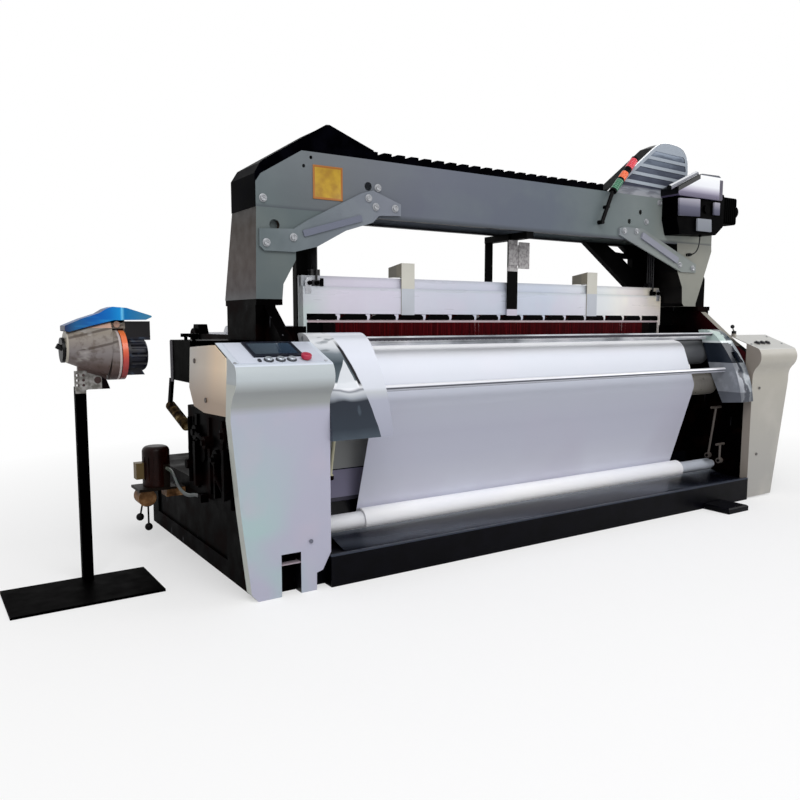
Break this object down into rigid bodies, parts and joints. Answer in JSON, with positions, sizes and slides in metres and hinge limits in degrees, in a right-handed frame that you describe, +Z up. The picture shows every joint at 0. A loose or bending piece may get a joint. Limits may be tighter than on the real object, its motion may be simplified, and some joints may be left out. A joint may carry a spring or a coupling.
{
  "type": "power loom",
  "caption": "Wide rapier loom with overhead shedding gantry, cloth take-up, heald frames, front covers with controls and a weft feeder on a stand.",
  "frame": {"origin": "on the floor under the front beam, midway between the two front covers", "axes": "+X along the weaving width to the right, +Y from the weaver to the warp beam, +Z up"},
  "size_m": [5.206, 2.0579, 2.5379],
  "materials": {
    "cover_left": "satin powder coat, cool white",
    "cover_right": "satin powder coat, cream",
    "beige_paint": "satin paint",
    "gantry_paint": "satin grey paint",
    "column_paint": "satin grey paint",
    "black_paint": "gloss black paint",
    "frame_paint": "black painted casting",
    "dark_steel": "dark gloss",
    "bright_sheet": "polished sheet",
    "steel": "turned",
    "roller_rubber": "matt",
    "cloth": "plain weave",
    "yarn": "wound warp",
    "aluminium": "satin",
    "heald_white": "satin white",
    "cream_plastic": "satin",
    "black_plastic": "matt",
    "screen": "gloss",
    "button_silver": "satin",
    "button_red": "gloss",
    "lamp": "gloss, green, amber and red lenses on a black post",
    "pump_tan": "cast, dull",
    "motor_brown": "satin paint",
    "hose": "satin",
    "feeder_grey": "satin",
    "feeder_blue": "gloss",
    "feeder_orange": "gloss",
    "feeder_drum": "satin"
  },
  "bodies": {
    "root": {"left_side_frame": "frame_paint", "right_side_frame": "frame_paint", "front_beam": "black_paint", "rear_beam": "frame_paint", "front_shield": "dark_steel", "left_front_cover": "cover_left", "right_front_cover": "cover_right", "left_side_plate": "beige_paint", "control_screen": "screen", "tension_box": "black_paint", "left_selvedge_guard": "bright_sheet", "right_selvedge_guard": "bright_sheet", "guard_bar": "steel", "top_rail": "aluminium", "cloth_web": "cloth", "centre_bracket": "black_paint", "gantry_beam": "gantry_paint", "gantry_left_column": "column_paint", "gantry_right_column": "column_paint", "brace_plates": "gantry_paint", "machine_bolts": "steel", "gantry_roof": "black_plastic", "louvred_guard": "aluminium", "dobby_body": "black_paint", "dobby_hood": "steel", "dobby_motor": "black_plastic", "dobby_cable": "black_plastic", "signal_lamp": "lamp", "pump_body": "pump_tan", "pump_motor": "motor_brown", "pump_hose": "hose", "feeder_stand": "black_paint", "feeder_housing": "feeder_grey", "feeder_cover": "feeder_blue", "feeder_drum": "feeder_drum"},
    "push_button_1": {"push_button_1": "button_silver"},
    "push_button_2": {"push_button_2": "button_silver"},
    "push_button_3": {"push_button_3": "button_silver"},
    "right_button_1": {"right_button_1": "black_plastic"},
    "right_button_2": {"right_button_2": "black_plastic"},
    "right_button_3": {"right_button_3": "black_plastic"},
    "stop_button": {"stop_button": "button_red"},
    "ball_lever": {"ball_lever": "black_plastic"},
    "take_up_roller": {"take_up_roller": "roller_rubber"},
    "guide_roller": {"guide_roller": "steel"},
    "backrest_roller": {"backrest_roller": "steel"},
    "cloth_roll": {"cloth_core": "steel", "cloth_roll": "cloth"},
    "warp_beam": {"warp_beam": "aluminium", "warp_yarn": "yarn"},
    "sley": {"sley": "frame_paint", "reed": "steel"},
    "heald_frame_1": {"heald_frame_1": "heald_white", "frame_guides": "cream_plastic"},
    "heald_frame_2": {"heald_frame_2": "heald_white"},
    "heald_frame_3": {"heald_frame_3": "heald_white"},
    "heald_frame_4": {"heald_frame_4": "heald_white"},
    "tee_handle_1": {"tee_handle_1": "steel"},
    "tee_handle_2": {"tee_handle_2": "steel"},
    "feeder_ring": {"feeder_ring": "feeder_orange"}
  },
  "joints": [
    {"name": "push_button_1_slide", "type": "slide", "parent": "root", "child": "push_button_1", "axis": [0, 0.3681, -0.9298], "range_m": [0, 0.005], "stiffness_N_per_m": 900, "springref_m": -0.002},
    {"name": "push_button_2_slide", "type": "slide", "parent": "root", "child": "push_button_2", "axis": [0, 0.3681, -0.9298], "range_m": [0, 0.005], "stiffness_N_per_m": 900, "springref_m": -0.002},
    {"name": "push_button_3_slide", "type": "slide", "parent": "root", "child": "push_button_3", "axis": [0, 0.3681, -0.9298], "range_m": [0, 0.005], "stiffness_N_per_m": 900, "springref_m": -0.002},
    {"name": "right_button_1_slide", "type": "slide", "parent": "root", "child": "right_button_1", "axis": [0, 0.3681, -0.9298], "range_m": [0, 0.005], "stiffness_N_per_m": 900, "springref_m": -0.002},
    {"name": "right_button_2_slide", "type": "slide", "parent": "root", "child": "right_button_2", "axis": [0, 0.3681, -0.9298], "range_m": [0, 0.005], "stiffness_N_per_m": 900, "springref_m": -0.002},
    {"name": "right_button_3_slide", "type": "slide", "parent": "root", "child": "right_button_3", "axis": [0, 0.3681, -0.9298], "range_m": [0, 0.005], "stiffness_N_per_m": 900, "springref_m": -0.002},
    {"name": "stop_button_slide", "type": "slide", "parent": "root", "child": "stop_button", "axis": [0, 0.3681, -0.9298], "range_m": [0, 0.005], "stiffness_N_per_m": 900, "springref_m": -0.002},
    {"name": "heald_frame_1_slide", "type": "slide", "parent": "root", "child": "heald_frame_1", "axis": [0, 0, 1], "range_m": [0, 0.07]},
    {"name": "heald_frame_2_slide", "type": "slide", "parent": "root", "child": "heald_frame_2", "axis": [0, 0, 1], "range_m": [-0.07, 0]},
    {"name": "heald_frame_3_slide", "type": "slide", "parent": "root", "child": "heald_frame_3", "axis": [0, 0, 1], "range_m": [0, 0.07]},
    {"name": "heald_frame_4_slide", "type": "slide", "parent": "root", "child": "heald_frame_4", "axis": [0, 0, 1], "range_m": [-0.07, 0]},
    {"name": "sley_turn", "type": "hinge", "parent": "root", "child": "sley", "pos_m": [0, 0.62, 0.45], "axis": [1, 0, 0], "range_deg": [0, 8]},
    {"name": "ball_lever_turn", "type": "hinge", "parent": "root", "child": "ball_lever", "pos_m": [1.738, 0.18, 1.188], "axis": [0, 0, 1], "range_deg": [-45, 60]},
    {"name": "tee_handle_1_turn", "type": "hinge", "parent": "root", "child": "tee_handle_1", "pos_m": [1.62, 0.27, 0.29], "axis": [1, 0, 0], "range_deg": [0, 24]},
    {"name": "tee_handle_2_turn", "type": "hinge", "parent": "root", "child": "tee_handle_2", "pos_m": [1.62, 0.176, 0.264], "axis": [1, 0, 0], "range_deg": [0, 40]},
    {"name": "warp_beam_turn", "type": "hinge", "parent": "root", "child": "warp_beam", "pos_m": [0, 1.45, 0.52], "axis": [1, 0, 0], "continuous": true},
    {"name": "take_up_roller_turn", "type": "hinge", "parent": "root", "child": "take_up_roller", "pos_m": [0, 0.375, 1.05], "axis": [1, 0, 0], "continuous": true},
    {"name": "guide_roller_turn", "type": "hinge", "parent": "root", "child": "guide_roller", "pos_m": [0, 0.285, 0.828], "axis": [1, 0, 0], "continuous": true},
    {"name": "cloth_roll_turn", "type": "hinge", "parent": "root", "child": "cloth_roll", "pos_m": [0, 0.33, 0.205], "axis": [1, 0, 0], "continuous": true},
    {"name": "backrest_roller_turn", "type": "hinge", "parent": "root", "child": "backrest_roller", "pos_m": [0, 1.56, 1.18], "axis": [1, 0, 0], "continuous": true},
    {"name": "feeder_ring_turn", "type": "hinge", "parent": "root", "child": "feeder_ring", "pos_m": [-2.459, 0.745, 1.112], "axis": [1, 0, 0], "continuous": true}
  ],
  "couplings": [
    {"joint": "take_up_roller_turn", "follows": "warp_beam_turn", "ratio": 3.6364},
    {"joint": "guide_roller_turn", "follows": "warp_beam_turn", "ratio": 3.9024},
    {"joint": "cloth_roll_turn", "follows": "warp_beam_turn", "ratio": -4.9231},
    {"joint": "backrest_roller_turn", "follows": "warp_beam_turn", "ratio": 4.5714}
  ]
}
